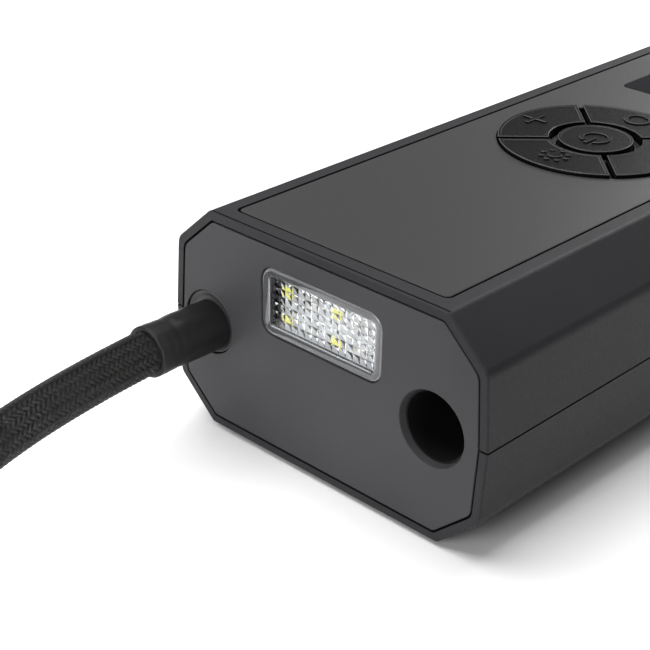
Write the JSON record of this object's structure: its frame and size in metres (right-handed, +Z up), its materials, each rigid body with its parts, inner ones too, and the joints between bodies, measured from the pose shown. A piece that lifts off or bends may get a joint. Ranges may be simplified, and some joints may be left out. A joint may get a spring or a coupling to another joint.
{
  "type": "portable tire inflator",
  "caption": "Cordless hand-held tyre inflator with an octagonal case, round button pad, work light, braided air hose and screw-on valve chuck.",
  "frame": {"origin": "on the resting surface, under the middle of the body", "axes": "+Z up, +Y from the front face with the light, hose and storage hole to the back face with the charging port, +X to the side of the storage hole"},
  "size_m": [0.117, 0.3815, 0.0498],
  "materials": {
    "case_plastic": "fine spark-eroded texture",
    "panel_plastic": "fine spark-eroded texture",
    "overlay_plastic": "satin",
    "button_rubber": "satin",
    "display_glass": "polished smoked acrylic",
    "lens_clear": "polished, prism pattern inside",
    "emitters": "phosphor-coated",
    "led_board_white": "white solder mask",
    "circuit_board": "solder mask",
    "electronics": "moulded",
    "screws": "zinc plated",
    "cells": "plastic sleeved",
    "inner_plastic": "as moulded",
    "nickel": "rolled",
    "motor_steel": "zinc plated",
    "motor_cap": "as moulded",
    "magnets": "ground ferrite",
    "windings": "enamelled copper over lamination",
    "steel": "ground",
    "brass": "machined",
    "gear_plastic": "moulded acetal",
    "pump_aluminium": "die cast",
    "rod_plastic": "glass-filled nylon",
    "seal_rubber": "moulded",
    "tube_silicone": "silicone with braid",
    "hose_braid": "braided nylon over rubber",
    "sleeve_shrink": "heat-shrunk, semi-gloss",
    "grommet_rubber": "satin",
    "ferrule_metal": "machined",
    "chuck_metal": "knurled",
    "foot_rubber": "moulded"
  },
  "bodies": {
    "case": {"upper_shell": "case_plastic", "lower_shell": "case_plastic", "front_panel": "panel_plastic", "rear_panel": "panel_plastic", "case_screws": "screws", "rubber_feet": "foot_rubber", "storage_socket": "inner_plastic", "led_lens": "lens_clear", "led_board": "led_board_white", "led_emitters": "emitters", "display_panel": "overlay_plastic", "display_window": "display_glass", "main_board": "circuit_board", "board_screws": "screws", "tactile_switches": "electronics", "display_module": "electronics", "control_chips": "electronics", "pressure_sensor": "electronics", "charging_port": "nickel", "battery_cell_1": "cells", "battery_cell_2": "cells", "battery_cell_3": "cells", "battery_holder": "inner_plastic", "nickel_strips": "nickel", "motor_can": "motor_steel", "motor_end_cap": "motor_cap", "motor_magnets": "magnets", "gear_axle": "steel", "axle_clip": "steel", "pump_frame": "pump_aluminium", "cylinder": "pump_aluminium", "cylinder_head": "pump_aluminium", "pump_screws": "screws", "valve_plate": "pump_aluminium", "reed_valve": "steel", "hose_fitting": "brass", "air_tube": "tube_silicone", "hose_grommet": "grommet_rubber", "hose_sleeve": "sleeve_shrink", "hose": "hose_braid", "hose_ferrule": "ferrule_metal", "chuck_stem": "steel", "chuck_seal": "seal_rubber", "valve_depressor": "brass"},
    "motor_rotor": {"motor_shaft": "steel", "armature": "windings", "commutator": "brass", "pinion": "brass"},
    "crank": {"crank_gear": "gear_plastic", "crank_pin": "steel"},
    "piston": {"connecting_rod": "rod_plastic", "piston_cup": "seal_rubber"},
    "plus_key": {"plus_button": "button_rubber"},
    "minus_key": {"minus_button": "button_rubber"},
    "mode_key": {"mode_button": "button_rubber"},
    "light_key": {"light_button": "button_rubber"},
    "power_key": {"power_button": "button_rubber"},
    "collar": {"chuck_collar": "chuck_metal"},
    "cover": {"port_cover": "seal_rubber"}
  },
  "joints": [
    {"name": "rotor_spin", "type": "hinge", "parent": "case", "child": "motor_rotor", "pos_m": [-0.02545, 0, 0.0241], "axis": [0, 1, 0], "continuous": true},
    {"name": "crank_spin", "type": "hinge", "parent": "case", "child": "crank", "pos_m": [-0.0062, 0, 0.0241], "axis": [0, 1, 0], "continuous": true},
    {"name": "piston_stroke", "type": "slide", "parent": "case", "child": "piston", "axis": [1, 0, 0], "range_m": [0, 0.011]},
    {"name": "power_press", "type": "slide", "parent": "case", "child": "power_key", "axis": [0, 0, -1], "range_m": [0, 0.0006], "stiffness_N_per_m": 3000},
    {"name": "plus_press", "type": "slide", "parent": "case", "child": "plus_key", "axis": [0, 0, -1], "range_m": [0, 0.0006], "stiffness_N_per_m": 3000},
    {"name": "minus_press", "type": "slide", "parent": "case", "child": "minus_key", "axis": [0, 0, -1], "range_m": [0, 0.0006], "stiffness_N_per_m": 3000},
    {"name": "mode_press", "type": "slide", "parent": "case", "child": "mode_key", "axis": [0, 0, -1], "range_m": [0, 0.0006], "stiffness_N_per_m": 3000},
    {"name": "light_press", "type": "slide", "parent": "case", "child": "light_key", "axis": [0, 0, -1], "range_m": [0, 0.0006], "stiffness_N_per_m": 3000},
    {"name": "collar_spin", "type": "hinge", "parent": "case", "child": "collar", "pos_m": [-0.0695, -0.17, 0.0067], "axis": [0, 1, 0], "continuous": true},
    {"name": "port_cover_swing", "type": "hinge", "parent": "case", "child": "cover", "pos_m": [0, 0.0867, 0.0339], "axis": [-1, 0, 0], "range_deg": [0, 100]}
  ],
  "couplings": [
    {"joint": "crank_spin", "follows": "rotor_spin", "ratio": -0.26316}
  ]
}
